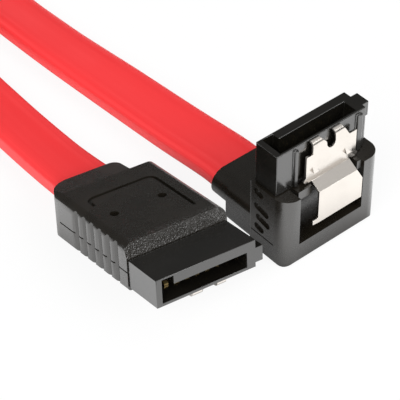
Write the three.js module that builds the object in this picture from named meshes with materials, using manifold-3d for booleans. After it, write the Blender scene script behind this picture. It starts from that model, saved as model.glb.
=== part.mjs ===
// Flat data cable with a straight latching plug and a right-angled latching plug.
// Millimetres, +Z up. The right-angled plug stands upright on the flat underside of its boot, which is the
// origin, with its mouth facing +Z and its latch facing -Y. The straight plug lies beside it, nose up on its
// latch. Both plugs share one connector, built along its own axes: x across the mouth, y back from the mouth,
// z through the thickness, with z = 0 on the face that carries the latch.
import * as THREE from "three";
import { mergeVertices } from "three/addons/utils/BufferGeometryUtils.js";
import Module from "manifold-3d";

const wasm = await Module();
wasm.setup();

// Driving dimensions

const CLEARANCE = 0.08; // between a piece and the pocket that holds it
const SEAT = 0.05; // between two faces that rest on each other
const BITE = 0.3; // how far joined shapes reach into each other

const HOUSING = {
  width: 12.3,
  thickness: 3.25,
  length: 8.2,
  shankInset: 0.75,
  shankStep: 0.45,
  slotLeftWall: 0.7,
  slotWidth: 10.5,
  slotLatchWall: 0.33,
  slotHeight: 1.75,
  slotDepth: 5.0,
  keyWidth: 1.43,
  keyHeight: 0.97,
  earWidth: 0.92,
  earBase: 0.5,
  earHeight: 1.78,
  earNoseLength: 1.9,
  earTailWidth: 0.62,
  railHeight: 0.27,
  railSetback: 0.45,
  leftRail: [-3.85, -3.35],
  rightRail: [4.87, 5.6],
};

const CONTACT = {
  count: 7,
  pitch: 1.27,
  width: 0.5,
  thickness: 0.2,
  setback: 2.5,
  bulge: 0.24,
  bulgeStart: 2.8,
  bulgeEnd: 3.4,
  bulgeFoot: 4.1,
};

const LATCH = {
  sheet: 0.25,
  lift: 0.4,
  hookRadius: 0.6,
  hookSetback: 0.1,
  shoulderSetback: 1.65,
  plateLeft: -2.62,
  plateRight: 4.38,
  firstBend: 5.2,
  secondBend: 5.95,
  padLift: 1.65,
  padEnd: 10.3,
  padLeft: -1.8,
  padRight: 4.45,
  neckRight: 3.55,
  padShoulder: 7.55,
  footWidth: 0.75,
  footLength: 0.7,
  footSetback: 0.1,
  leftHook: [-1.75, 0.12],
  rightHook: [1.25, 3.35],
  hookTipWidth: 1.18,
  notchLeft: [0.12, 0.95],
  notchRight: [1.4, 1.4],
  notchBottom: 2.35,
  barbReach: 0.33,
  barbLength: 0.7,
  catchHeight: 0.35,
  catchLength: 1.0,
  catchWidth: 0.8,
  catchInset: 0.8,
  catchBack: 4.0,
};

const CABLE = { width: 7.0, thickness: 2.2, cornerRadius: 0.9, seatDepth: 1.6, steps: 80, stretchGap: 0.3 };
const ROUTE_DIVISIONS = 1200;

const STRAIGHT_BOOT = {
  exposed: 4.9, // how much of the connector stands out of the boot
  halfWidth: 6.28,
  latchSide: -0.4,
  top: 4.87,
  length: 13.05,
  frontBevel: 0.45,
  bevelStart: 3.4,
  edgeRadius: 1.0,
  footRadius: 0.4,
  rearRadius: 0.3,
  neckRight: 3.0,
  neckLength: 2.7,
  neckDrop: 0.2,
  neckFootRise: 0.9,
  neckFootRun: 1.2,
  neckLeftRadius: 3.0,
  neckRightRadius: 1.0,
  cableOffset: -0.3,
  cableHeight: 2.45,
  gripCount: 6,
  gripPitch: 1.5,
  gripStart: 7.0,
  ridgeRadius: 0.8,
  gripDepth: 0.35,
  gripTop: 4.5,
  frameLineWidth: 0.4,
  frameLineDepth: 0.3,
  frameLineLeft: -4.5,
  frameLineRight: 4.2,
  frameLineRear: 15.45,
  frameLineRadius: 1.1,
  frameLineLeftEnd: 13.7,
  frameLineRightEnd: 7.4,
  dimpleRadius: 0.5,
  dimpleDepth: 0.8,
  dimpleFromMouth: 11.1,
  dimpleLeft: -3.55,
  dimpleRight: 2.45,
  partingHeight: 1.8,
};

const ANGLED_BOOT = {
  exposed: 5.3, // how much of the connector stands out of the boot
  left: -6.45,
  right: 7.2,
  front: -1.9,
  back: 3.8,
  height: 9.25,
  frontRadius: 1.8,
  backRadius: 0.35,
  footRadius: 0.7,
  sideFootRadius: 0.4,
  neckEnd: 7.9,
  neckHalfWidth: 6.15,
  neckHeight: 5.2,
  neckRadius: 1.3,
  collarEnd: 11.0,
  collarWall: 0.55,
  collarLip: 0.7,
  cableOffset: -1.5,
  cableHeight: 2.8,
  slotDepth: 0.45,
  slotHeight: 0.85,
  slotSlope: 0.24,
  // Height, front and back of each slanted relief slot in the boot's sides.
  slots: [
    [8.3, 1.6, 3.0],
    [6.2, 0.7, 3.0],
    [4.8, 0.5, 2.7],
    [3.5, 1.4, 2.9],
  ],
  // Left, right and front of each of the two lugs in the window, beside the latch's step.
  lugs: [
    [-3.9, -2.1, -1.0],
    [3.98, 4.7, -1.4],
  ],
  lugHeight: 1.1,
  lugDrop: 0.05,
  partingHeight: 2.6,
};

const PARTING_LINE = { width: 0.16, depth: 0.15 };
const RIDGE_SIDES = 20;

// The opening over the press pad, in both boots: its sides, its depth into the plug and its end.
const WINDOW = { left: -4.4, right: 4.55, floor: 0.1, length: 6.5 };

const INNER_MOULD = {
  halfWidth: 4.2,
  inset: 0.65,
  length: 5.0,
  legHeight: 2.6,
  legLength: 3.2,
  footHeight: 1.5,
};

// Where the straight plug lies: the middle of its latch-side mouth edge, and its turns in degrees.
const STRAIGHT_PLACE = { position: [-16.8, -1.75, 4.525], yaw: -3.0, noseUp: -11.2, roll: 6.3 };

// The cable's route from the straight plug to the right-angled plug: x, y, z of the middle of the flat
// section and its roll in degrees (0 lies flat, 90 stands on edge). Its two ends follow the plugs.
const FIRST_RUN = [
  [-15.5, 26.0, 1.95, 10],
  [-15.3, 34.0, 1.7, 12],
  [-14.85, 46.0, 1.65, 11],
  [-13.8, 60.0, 1.4, 4],
  [-13.1, 70.0, 1.25, 0],
  [-13.0, 78.0, 1.4, 3],
  [-13.0, 84.0, 2.25, 22],
  [-13.0, 90.0, 3.0, 45],
  [-13.0, 96.0, 3.5, 68],
];
const LOOP = {
  middle: -8,
  halfGap: 5,
  neck: 109,
  radius: 28,
  height: 3.6,
  neckPoints: 3,
  crownPoints: 13,
};
const SECOND_RUN = [
  [-3.0, 96.0, 3.5, 68],
  [-3.0, 90.0, 3.0, 45],
  [-3.0, 84.0, 2.25, 22],
  [-3.0, 78.0, 1.4, 3],
  [-3.1, 71.0, 1.25, 0],
  [-3.2, 64.0, 1.35, -2],
  [-3.3, 57.0, 1.5, -4],
  [-3.1, 50.0, 1.6, -9],
  [-2.85, 42.0, 1.7, -7],
  [-2.25, 32.0, 1.85, -2],
  [-1.85, 21.0, 2.35, 0],
];

// Materials

const MATERIALS = {
  plastic: new THREE.MeshStandardMaterial({ color: 0x171615, roughness: 0.42, metalness: 0 }),
  mould: new THREE.MeshStandardMaterial({ color: 0xd8d4c8, roughness: 0.6, metalness: 0 }),
  steel: new THREE.MeshStandardMaterial({ color: 0xe6e2dc, roughness: 0.22, metalness: 1 }),
  gold: new THREE.MeshStandardMaterial({ color: 0xd9a441, roughness: 0.3, metalness: 1 }),
  jacket: new THREE.MeshStandardMaterial({ color: 0xf5484a, roughness: 0.5, metalness: 0 }),
};

// Solids

function toSolid(geometry) {
  const bare = geometry.clone();
  bare.deleteAttribute("normal");
  bare.deleteAttribute("uv");
  const merged = mergeVertices(bare, 1e-4);
  return new wasm.Manifold(
    new wasm.Mesh({
      numProp: 3,
      vertProperties: new Float32Array(merged.attributes.position.array),
      triVerts: new Uint32Array(merged.index.array),
    }),
  );
}

function toGeometry(solid) {
  const made = solid.getMesh();
  const positions = new Float32Array(made.numVert * 3);
  for (let i = 0; i < made.numVert; i++) {
    positions.set(made.vertProperties.subarray(i * made.numProp, i * made.numProp + 3), i * 3);
  }
  const geometry = new THREE.BufferGeometry();
  geometry.setAttribute("position", new THREE.BufferAttribute(positions, 3));
  geometry.setIndex(new THREE.BufferAttribute(new Uint32Array(made.triVerts), 1));
  geometry.computeVertexNormals();
  return geometry;
}

const join = (...geometries) => toGeometry(geometries.map(toSolid).reduce((a, b) => a.add(b)));
const common = (...geometries) => toGeometry(geometries.map(toSolid).reduce((a, b) => a.intersect(b)));
const cut = (body, tools) => toGeometry(tools.map(toSolid).reduce((a, b) => a.subtract(b), toSolid(body)));

function box(x, y, z) {
  const size = [x, y, z].map(([low, high]) => high - low);
  const middle = [x, y, z].map(([low, high]) => (low + high) / 2);
  return new THREE.BoxGeometry(...size).translate(...middle);
}

// A closed outline from its corner points.
function outline(points) {
  return new THREE.Shape(points.map(([a, b]) => new THREE.Vector2(a, b)));
}

// A rectangle with round corners, as a closed outline. Its low corners can have a radius of their own.
function roundRectangle([left, right], [low, high], radius, lowRadius = radius) {
  const most = Math.min(right - left, high - low) / 2 - 1e-3;
  const top = Math.min(radius, most);
  const foot = Math.min(lowRadius, most);
  const shape = new THREE.Shape();
  shape.moveTo(left + foot, low);
  shape.absarc(right - foot, low + foot, foot, -Math.PI / 2, 0);
  shape.absarc(right - top, high - top, top, 0, Math.PI / 2);
  shape.absarc(left + top, high - top, top, Math.PI / 2, Math.PI);
  shape.absarc(left + foot, low + foot, foot, Math.PI, 1.5 * Math.PI);
  return shape;
}

// An outline extruded along one axis. Along y its points are (x, z), along x they are (y, z), along z (x, y).
function prism(shape, axis, [from, to]) {
  const depth = to - from;
  const geometry = new THREE.ExtrudeGeometry(shape, { depth, bevelEnabled: false, curveSegments: 6 });
  if (axis === "y") return geometry.rotateX(Math.PI / 2).translate(0, to, 0);
  if (axis === "z") return geometry.translate(0, 0, from);
  const turned = new THREE.Matrix4().makeBasis(
    new THREE.Vector3(0, 1, 0),
    new THREE.Vector3(0, 0, 1),
    new THREE.Vector3(1, 0, 0),
  );
  return geometry.applyMatrix4(turned).translate(from, 0, 0);
}

// Connector

const halfHousing = HOUSING.width / 2;
const slotLeft = -halfHousing + HOUSING.slotLeftWall;
const slotRight = slotLeft + HOUSING.slotWidth;
const slotCeiling = HOUSING.slotLatchWall + HOUSING.slotHeight;
const shankHalf = halfHousing - HOUSING.shankInset;
const shankLow = HOUSING.shankStep;
const shankHigh = HOUSING.thickness - HOUSING.shankStep;

// The connector's body, which is stepped in where the boot begins.
function housing(exposedLength) {
  const exposed = [0, exposedLength];
  const body = box([-halfHousing, halfHousing], exposed, [0, HOUSING.thickness]);
  const shank = box([-shankHalf, shankHalf], [exposedLength - BITE, HOUSING.length], [shankLow, shankHigh]);
  const earSpan = [HOUSING.earBase, HOUSING.earBase + HOUSING.earHeight];
  const earRoot = halfHousing - BITE;
  const earNose = box([earRoot, halfHousing + HOUSING.earWidth], [0, HOUSING.earNoseLength], earSpan);
  const earTail = box([earRoot, halfHousing + HOUSING.earTailWidth], exposed, earSpan);
  const railSpan = [-HOUSING.railHeight, HOUSING.slotLatchWall / 2];
  const railLength = [HOUSING.railSetback, exposedLength];
  const rails = [HOUSING.leftRail, HOUSING.rightRail].map((across) => box(across, railLength, railSpan));
  const slot = box([slotLeft, slotRight], [-1, HOUSING.slotDepth], [HOUSING.slotLatchWall, slotCeiling]);
  const key = box(
    [slotLeft, slotLeft + HOUSING.keyWidth],
    [-1, HOUSING.slotDepth],
    [slotCeiling - BITE, slotCeiling + HOUSING.keyHeight],
  );
  return cut(join(body, shank, earNose, earTail, ...rails), [slot, key]);
}

// One spring contact along the slot's latch-side wall, its back end against the end of the slot.
function contact(index) {
  const firstTongue = slotLeft + HOUSING.keyWidth;
  const middle = (firstTongue + slotRight) / 2 + (index - (CONTACT.count - 1) / 2) * CONTACT.pitch;
  const low = HOUSING.slotLatchWall + SEAT / 2;
  const high = low + CONTACT.thickness;
  const end = HOUSING.slotDepth - SEAT;
  const profile = outline([
    [CONTACT.setback, low],
    [end, low],
    [end, high],
    [CONTACT.bulgeFoot, high],
    [CONTACT.bulgeEnd, high + CONTACT.bulge],
    [CONTACT.bulgeStart, high + CONTACT.bulge],
    [CONTACT.setback, high],
  ]);
  return prism(profile, "x", [middle - CONTACT.width / 2, middle + CONTACT.width / 2]);
}

// The latch is one bent sheet: two hooks at the mouth, a flat plate, a step out and a press pad.
function latch() {
  const inner = -LATCH.lift;
  const outer = inner - LATCH.sheet;
  const padInner = -LATCH.padLift;
  const padOuter = padInner - LATCH.sheet;
  const hookCentre = [LATCH.hookSetback + LATCH.hookRadius, outer + LATCH.hookRadius];
  const rise = padInner - inner;
  const run = LATCH.secondBend - LATCH.firstBend;
  const shift = LATCH.sheet * Math.tan(Math.atan2(-rise, run) / 2);
  const profile = new THREE.Shape();
  profile.moveTo(LATCH.hookSetback, hookCentre[1]);
  profile.absarc(...hookCentre, LATCH.hookRadius, Math.PI, 1.5 * Math.PI);
  profile.lineTo(LATCH.firstBend, outer);
  profile.lineTo(LATCH.secondBend, padOuter);
  profile.lineTo(LATCH.padEnd, padOuter);
  profile.lineTo(LATCH.padEnd, padInner);
  profile.lineTo(LATCH.secondBend + shift, padInner);
  profile.lineTo(LATCH.firstBend + shift, inner);
  profile.lineTo(hookCentre[0], inner);
  profile.absarc(...hookCentre, LATCH.hookRadius - LATCH.sheet, 1.5 * Math.PI, Math.PI, true);
  const sheet = prism(profile, "x", [LATCH.plateLeft - 1, LATCH.plateRight + 1]);

  const barb = LATCH.firstBend - LATCH.barbLength;
  const barbTip = barb + LATCH.barbLength / 2;
  const foot = LATCH.padEnd - LATCH.footLength;
  const footLeft = LATCH.padLeft - LATCH.footWidth;
  const beyond = -1;
  const [leftHook, leftTip] = [LATCH.leftHook[0], LATCH.leftHook[0] + LATCH.hookTipWidth];
  const [rightInner, rightHook] = LATCH.rightHook;
  const rightTip = rightInner + LATCH.hookTipWidth;
  const [notchLeft, notchLeftTop] = LATCH.notchLeft;
  const [notchRight, notchRightTop] = LATCH.notchRight;
  const plan = new THREE.Shape();
  plan.moveTo(leftHook, beyond);
  plan.lineTo(leftTip, beyond);
  plan.lineTo(leftTip, LATCH.hookSetback);
  plan.lineTo(notchLeft, notchLeftTop);
  plan.bezierCurveTo(notchLeft, LATCH.notchBottom, notchRight, LATCH.notchBottom, notchRight, notchRightTop);
  plan.lineTo(rightInner, beyond);
  plan.lineTo(rightTip, beyond);
  plan.lineTo(rightTip, LATCH.hookSetback);
  plan.lineTo(rightHook, LATCH.shoulderSetback);
  plan.lineTo(LATCH.plateRight, LATCH.shoulderSetback);
  plan.lineTo(LATCH.plateRight, barb);
  plan.lineTo(LATCH.plateRight + LATCH.barbReach, barbTip);
  plan.lineTo(LATCH.plateRight, LATCH.firstBend);
  plan.lineTo(LATCH.neckRight, LATCH.firstBend);
  plan.lineTo(LATCH.neckRight, LATCH.secondBend);
  plan.lineTo(LATCH.padRight, LATCH.padShoulder);
  plan.lineTo(LATCH.padRight, LATCH.padEnd - beyond);
  plan.lineTo(LATCH.padLeft, LATCH.padEnd - beyond);
  plan.lineTo(LATCH.padLeft, LATCH.padEnd);
  plan.lineTo(footLeft, LATCH.padEnd - LATCH.footSetback);
  plan.lineTo(footLeft, foot);
  plan.lineTo(LATCH.padLeft, foot);
  plan.lineTo(LATCH.padLeft, LATCH.firstBend);
  plan.lineTo(LATCH.plateLeft, LATCH.firstBend);
  plan.lineTo(LATCH.plateLeft - LATCH.barbReach, barbTip);
  plan.lineTo(LATCH.plateLeft, barb);
  plan.lineTo(LATCH.plateLeft, LATCH.shoulderSetback);
  plan.lineTo(leftHook, LATCH.shoulderSetback);
  const blank = common(sheet, prism(plan, "z", [padOuter - 1, 1]));

  // The two catches stand out of the plate, sloped towards the mouth.
  const catchProfile = outline([
    [LATCH.catchBack - LATCH.catchLength, outer + LATCH.sheet / 2],
    [LATCH.catchBack, outer - LATCH.catchHeight],
    [LATCH.catchBack, outer + LATCH.sheet / 2],
  ]);
  const leftCatch = LATCH.plateLeft + LATCH.catchInset;
  const rightCatch = LATCH.plateRight - LATCH.catchInset - LATCH.catchWidth;
  const catches = [leftCatch, rightCatch].map((left) =>
    prism(catchProfile, "x", [left, left + LATCH.catchWidth]),
  );
  return join(blank, ...catches);
}

// Straight plug, in the connector's own axes

const straightFront = STRAIGHT_BOOT.exposed + SEAT;
const straightEnd = straightFront + STRAIGHT_BOOT.length;
const straightNeckEnd = straightEnd + STRAIGHT_BOOT.neckLength;
const mouldStart = HOUSING.length + SEAT;
const mouldLow = shankLow + SEAT;
const mouldHigh = shankHigh - SEAT;

// The flat cable's section about its own middle, widened by a margin.
function cableSection(margin = 0) {
  const across = CABLE.width / 2 + margin;
  const through = CABLE.thickness / 2 + margin;
  return roundRectangle([-across, across], [-through, through], CABLE.cornerRadius + margin);
}

// The pocket for the housing's shank, grown by the clearance.
function shankPocket(exposedLength) {
  return box(
    [-shankHalf - CLEARANCE, shankHalf + CLEARANCE],
    [exposedLength - 1, mouldStart],
    [shankLow - CLEARANCE, shankHigh + CLEARANCE],
  );
}

// The fine groove down both sides of a boot, where the halves of its mould met.
function partingLines([left, right], length, height) {
  const { width, depth } = PARTING_LINE;
  const span = [height - width / 2, height + width / 2];
  return [box([left - 1, left + depth], length, span), box([right - depth, right + 1], length, span)];
}

function straightMould(grow = 0) {
  const half = INNER_MOULD.halfWidth + grow;
  const start = mouldStart - (grow > 0 ? BITE : 0);
  const end = mouldStart + INNER_MOULD.length + grow;
  return box([-half, half], [start, end], [mouldLow - grow, mouldHigh + grow]);
}

// The boot seen from above: a block whose left side runs on into the neck.
function straightPlan() {
  const b = STRAIGHT_BOOT;
  const right = b.halfWidth - b.rearRadius;
  const plan = new THREE.Shape();
  plan.moveTo(-b.halfWidth, straightFront);
  plan.lineTo(b.halfWidth, straightFront);
  plan.absarc(right, straightEnd - b.rearRadius, b.rearRadius, 0, Math.PI / 2);
  plan.lineTo(b.neckRight, straightEnd);
  const neckArc = (x, radius, from) =>
    plan.absarc(x, straightNeckEnd - radius, radius, from, from + Math.PI / 2);
  neckArc(b.neckRight - b.neckRightRadius, b.neckRightRadius, 0);
  neckArc(b.neckLeftRadius - b.halfWidth, b.neckLeftRadius, Math.PI / 2);
  return plan;
}

// Three sides of a round-cornered frame, sunk into the boot's top.
function frameLine() {
  const b = STRAIGHT_BOOT;
  const depth = [b.top - b.frameLineDepth, b.top + 1];
  const width = b.frameLineWidth;
  const ring = roundRectangle([b.frameLineLeft, b.frameLineRight], [0, b.frameLineRear], b.frameLineRadius);
  const inside = [b.frameLineLeft + width, b.frameLineRight - width];
  ring.holes.push(roundRectangle(inside, [width, b.frameLineRear - width], b.frameLineRadius - width));
  const leftSide = box([b.frameLineLeft - 1, 0], [b.frameLineLeftEnd, b.frameLineRear + 1], depth);
  const rightSide = box([-BITE, b.frameLineRight + 1], [b.frameLineRightEnd, b.frameLineRear + 1], depth);
  return common(prism(ring, "z", depth), join(leftSide, rightSide));
}

function straightBoot() {
  const b = STRAIGHT_BOOT;
  const across = [-b.halfWidth, b.halfWidth];
  const through = [b.latchSide, b.top];
  const side = outline([
    [straightFront, b.latchSide],
    [straightNeckEnd - b.neckFootRun, b.latchSide],
    [straightNeckEnd, b.latchSide + b.neckFootRise],
    [straightNeckEnd, b.top - b.neckDrop],
    [straightEnd, b.top],
    [straightFront + b.frontBevel, b.top],
    [straightFront, b.bevelStart],
  ]);
  const body = common(
    prism(roundRectangle(across, through, b.edgeRadius, b.footRadius), "y", [straightFront, straightNeckEnd]),
    prism(side, "x", across),
    prism(straightPlan(), "z", through),
  );

  const pocketLength = [straightNeckEnd - CABLE.seatDepth, straightNeckEnd + 1];
  const cablePocket = prism(cableSection(CLEARANCE), "y", pocketLength);
  cablePocket.translate(b.cableOffset, 0, b.cableHeight);
  const window = box(
    [WINDOW.left, WINDOW.right],
    [straightFront - 1, b.exposed + WINDOW.length],
    [b.latchSide - 1, WINDOW.floor],
  );

  // Upright grooves down both sides: what is left of a shallow band once its round ridges are taken out.
  const gripHeight = [b.latchSide - 1, b.gripTop];
  const firstRidge = b.gripStart - b.gripPitch / 2;
  const gripLength = [firstRidge, firstRidge + b.gripCount * b.gripPitch];
  const ridgeLength = 2 * (b.top - b.latchSide);
  const grips = [-1, 1].map((side) => {
    const reach = [b.halfWidth - b.gripDepth, b.halfWidth + 1].map((x) => side * x).sort((low, high) => low - high);
    const ridges = Array.from({ length: b.gripCount + 1 }, (_, i) =>
      new THREE.CylinderGeometry(b.ridgeRadius, b.ridgeRadius, ridgeLength, RIDGE_SIDES)
        .rotateX(Math.PI / 2)
        .translate(side * (b.halfWidth - b.ridgeRadius), firstRidge + i * b.gripPitch, b.partingHeight),
    );
    return cut(box(reach, gripLength, gripHeight), ridges);
  });

  const dimples = [b.dimpleLeft, b.dimpleRight].map((x) =>
    new THREE.CylinderGeometry(b.dimpleRadius, b.dimpleRadius, 2, 16)
      .rotateX(Math.PI / 2)
      .translate(x, b.dimpleFromMouth, b.top - b.dimpleDepth + 1),
  );
  return cut(body, [
    cablePocket,
    window,
    shankPocket(b.exposed),
    straightMould(CLEARANCE),
    ...partingLines(across, [straightFront - 1, straightNeckEnd - b.neckLeftRadius], b.partingHeight),
    ...grips,
    frameLine(),
    ...dimples,
  ]);
}

// Right-angled plug, upright: x across, y away from the latch, z up from the boot's underside

const angledMouth = ANGLED_BOOT.height + SEAT + ANGLED_BOOT.exposed;

// Turns a geometry from the connector's axes to the upright plug's.
const upright = (geometry) => geometry.rotateX(-Math.PI / 2).translate(0, 0, angledMouth);

function angledMould(grow = 0) {
  const m = INNER_MOULD;
  const half = m.halfWidth + grow;
  const top = angledMouth - mouldStart + (grow > 0 ? BITE : 0);
  const stem = box([-half, half], [mouldLow - grow, mouldHigh + grow], [m.footHeight - grow, top]);
  const cableMiddle = ANGLED_BOOT.cableOffset;
  const leg = box(
    [cableMiddle - m.halfWidth + m.inset - grow, cableMiddle + m.halfWidth + grow],
    [mouldHigh - BITE, mouldHigh + m.legLength + grow],
    [m.footHeight - grow, m.footHeight + m.legHeight + grow],
  );
  return join(stem, leg);
}

function angledBoot() {
  const b = ANGLED_BOOT;
  const across = [b.left, b.right];
  const upwards = [0, b.height];
  const openTop = (radius) => [0, b.height + radius];
  const body = common(
    prism(roundRectangle(across, [b.front, b.back], b.backRadius, b.frontRadius), "z", upwards),
    prism(roundRectangle(across, openTop(b.sideFootRadius), b.sideFootRadius), "y", [b.front, b.back]),
    prism(roundRectangle([b.front, b.back + b.footRadius], openTop(b.footRadius), b.footRadius), "x", across),
  );
  const neckAcross = [-b.neckHalfWidth, b.neckHalfWidth];
  const neck = prism(roundRectangle(neckAcross, [0, b.neckHeight], b.neckRadius), "y", [
    b.back - b.backRadius - BITE,
    b.neckEnd,
  ]);
  const collarHalf = CABLE.width / 2 + b.collarWall;
  const collarRise = CABLE.thickness / 2 + b.collarLip;
  const collar = prism(
    roundRectangle(
      [b.cableOffset - collarHalf, b.cableOffset + collarHalf],
      [b.cableHeight - collarRise, b.cableHeight + collarRise],
      collarRise,
    ),
    "y",
    [b.neckEnd - BITE, b.collarEnd],
  );

  const cablePocket = prism(cableSection(CLEARANCE), "y", [b.collarEnd - CABLE.seatDepth, b.collarEnd + 1]);
  cablePocket.translate(b.cableOffset, 0, b.cableHeight);
  const windowLow = angledMouth - b.exposed - WINDOW.length;
  const window = box([WINDOW.left, WINDOW.right], [b.front - 1, WINDOW.floor], [windowLow, b.height + 1]);
  const lugTop = b.height - b.lugDrop;
  const lugs = b.lugs.map(([left, right, front]) =>
    box([left, right], [front, WINDOW.floor + BITE], [lugTop - b.lugHeight, lugTop]),
  );
  const slots = b.slots.flatMap(([height, front, back]) => {
    const middle = (front + back) / 2;
    const half = [(back - front) / 2, b.slotHeight / 2];
    const slot = roundRectangle([-half[0], half[0]], [-half[1], half[1]], half[1]);
    return across.map((side) =>
      prism(slot, "x", [-b.slotDepth, b.slotDepth])
        .rotateX(Math.atan(b.slotSlope))
        .translate(side, middle, height),
    );
  });
  return cut(join(body, neck, collar), [
    cablePocket,
    cut(window, lugs),
    upright(shankPocket(b.exposed)),
    angledMould(CLEARANCE),
    ...partingLines(across, [b.front + b.frontRadius, b.back - b.backRadius], b.partingHeight),
    ...slots,
  ]);
}

// Cable

// A smooth route for a flat section, whose width is turned by a roll about the route.
class FlatRoute extends THREE.CatmullRomCurve3 {
  constructor(points, rolls) {
    super(points, false, "centripetal");
    this.rolls = rolls;
  }

  // The roll at a share of the route's length, with even steps between the points.
  rollAt(share) {
    const t = this.getUtoTmapping(share) * (this.rolls.length - 1);
    const i = Math.min(Math.floor(t), this.rolls.length - 2);
    return THREE.MathUtils.lerp(this.rolls[i], this.rolls[i + 1], t - i);
  }

  // The share of the route's length at one of its points.
  shareAtPoint(index) {
    const lengths = this.getLengths();
    const last = lengths.length - 1;
    return lengths[Math.round((index / (this.points.length - 1)) * last)] / lengths[last];
  }
}

// One stretch of a flat route, between two shares of its length.
class RouteStretch extends THREE.Curve {
  constructor(route, from, to) {
    super();
    this.route = route;
    this.shareAt = (u) => THREE.MathUtils.lerp(from, to, u);
  }

  getPointAt(u) {
    return this.route.getPointAt(this.shareAt(u));
  }

  computeFrenetFrames(segments) {
    const up = new THREE.Vector3(0, 0, 1);
    const frames = { tangents: [], normals: [], binormals: [] };
    for (let i = 0; i <= segments; i++) {
      const share = this.shareAt(i / segments);
      const tangent = this.route.getTangentAt(share);
      const level = new THREE.Vector3().crossVectors(tangent, up).normalize();
      const normal = level.applyAxisAngle(tangent, this.route.rollAt(share));
      frames.tangents.push(tangent);
      frames.normals.push(normal);
      frames.binormals.push(new THREE.Vector3().crossVectors(tangent, normal));
    }
    return frames;
  }
}

// The cable's end points: the bottom of the pocket, the mouth of the pocket and one point straight on.
function cableEnd(matrix, offset, end, height) {
  return [-CABLE.seatDepth + SEAT, 0, CABLE.thickness].map((beyond) =>
    new THREE.Vector3(offset, end + beyond, height).applyMatrix4(matrix),
  );
}

// The points of the loop, which stands on edge. From the neck the two strands lean apart round a circle each,
// and a third circle joins them.
function loopPoints() {
  const { middle, halfGap, neck, radius, height } = LOOP;
  const lean = Math.acos((halfGap + radius) / (2 * radius));
  const crown = neck + 2 * radius * Math.sin(lean);
  const leaning = Array.from({ length: LOOP.neckPoints }, (_, i) => {
    const angle = (lean * i) / LOOP.neckPoints;
    return [halfGap + radius * (1 - Math.cos(angle)), neck + radius * Math.sin(angle)];
  });
  const round = Array.from({ length: LOOP.crownPoints }, (_, i) => {
    const angle = Math.PI + lean - ((Math.PI + 2 * lean) * i) / (LOOP.crownPoints - 1);
    return [radius * Math.cos(angle), crown + radius * Math.sin(angle)];
  });
  const plan = [...leaning.map(([reach, y]) => [-reach, y]), ...round, ...leaning.toReversed()];
  return plan.map(([x, y]) => [middle + x, y, height, 90]);
}

// The cable in three stretches: from the straight plug, the loop and to the right-angled plug.
function cableStretches(straightMatrix) {
  const [s, a] = [STRAIGHT_BOOT, ANGLED_BOOT];
  const straight = cableEnd(straightMatrix, s.cableOffset, straightNeckEnd, s.cableHeight);
  const angled = cableEnd(new THREE.Matrix4(), a.cableOffset, a.collarEnd, a.cableHeight);
  const between = [...FIRST_RUN, ...loopPoints(), ...SECOND_RUN];
  const across = new THREE.Vector3(1, 0, 0).transformDirection(straightMatrix);
  const plugRoll = -Math.asin(across.z);
  const middle = between.map(([x, y, z]) => new THREE.Vector3(x, y, z));
  const points = [...straight, ...middle, ...angled.reverse()];
  const rolls = [
    ...straight.map(() => plugRoll),
    ...between.map(([, , , roll]) => THREE.MathUtils.degToRad(roll)),
    ...angled.map(() => 0),
  ];
  const route = new FlatRoute(points, rolls);
  route.arcLengthDivisions = ROUTE_DIVISIONS;
  const gap = CABLE.stretchGap / route.getLength() / 2;
  const loopStart = route.shareAtPoint(straight.length + FIRST_RUN.length);
  const loopEnd = route.shareAtPoint(points.length - angled.length - SECOND_RUN.length + 1);
  const stretches = [
    [0, loopStart - gap],
    [loopStart + gap, loopEnd - gap],
    [loopEnd + gap, 1],
  ];
  return stretches.map(([from, to]) => {
    const steps = Math.round(CABLE.steps * (to - from));
    return new THREE.ExtrudeGeometry(cableSection(), {
      steps,
      extrudePath: new RouteStretch(route, from, to),
      curveSegments: 2,
    });
  });
}

// Assembly

function mesh(name, geometry, material) {
  const made = new THREE.Mesh(geometry, material);
  made.name = name;
  return made;
}

// The connector's pieces, named for the plug that they belong to.
function connector(prefix, exposedLength) {
  const group = new THREE.Group();
  group.add(mesh(`${prefix}_housing`, housing(exposedLength), MATERIALS.plastic));
  group.add(mesh(`${prefix}_latch`, latch(), MATERIALS.steel));
  for (let i = 0; i < CONTACT.count; i++) {
    group.add(mesh(`${prefix}_contact_${i + 1}`, contact(i), MATERIALS.gold));
  }
  return group;
}

function straightPlug() {
  const group = connector("straight", STRAIGHT_BOOT.exposed);
  group.add(mesh("straight_boot", straightBoot(), MATERIALS.plastic));
  group.add(mesh("straight_inner_mould", straightMould(), MATERIALS.mould));
  const { position, noseUp, roll, yaw } = STRAIGHT_PLACE;
  group.position.set(...position);
  group.rotation.order = "ZXY";
  group.rotation.set(...[noseUp, roll, yaw].map((angle) => THREE.MathUtils.degToRad(angle)));
  group.updateMatrix();
  return group;
}

function angledPlug() {
  const group = new THREE.Group();
  const mouth = connector("angled", ANGLED_BOOT.exposed);
  mouth.rotation.x = -Math.PI / 2;
  mouth.position.z = angledMouth;
  group.add(mouth);
  group.add(mesh("angled_boot", angledBoot(), MATERIALS.plastic));
  group.add(mesh("angled_inner_mould", angledMould(), MATERIALS.mould));
  return group;
}

const group = new THREE.Group();
const straight = straightPlug();
group.add(straight, angledPlug());
const stretchNames = ["cable_straight_run", "cable_loop", "cable_angled_run"];
cableStretches(straight.matrix).forEach((geometry, i) => {
  group.add(mesh(stretchNames[i], geometry, MATERIALS.jacket));
});

export default group;
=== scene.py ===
"""Flat red data cable with a straight and a right-angled latching plug, dressed for rendering.

Sizes of the plugs, the cable and the camera are in millimetres. Meshes, bumps and the studio are in metres,
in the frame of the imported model.
"""

from __future__ import annotations

import logging
import math
from dataclasses import dataclass
from enum import Enum
from typing import Any, ClassVar, Sequence

import bmesh
import bpy
import numpy as np
from mathutils import Matrix, Vector

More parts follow.
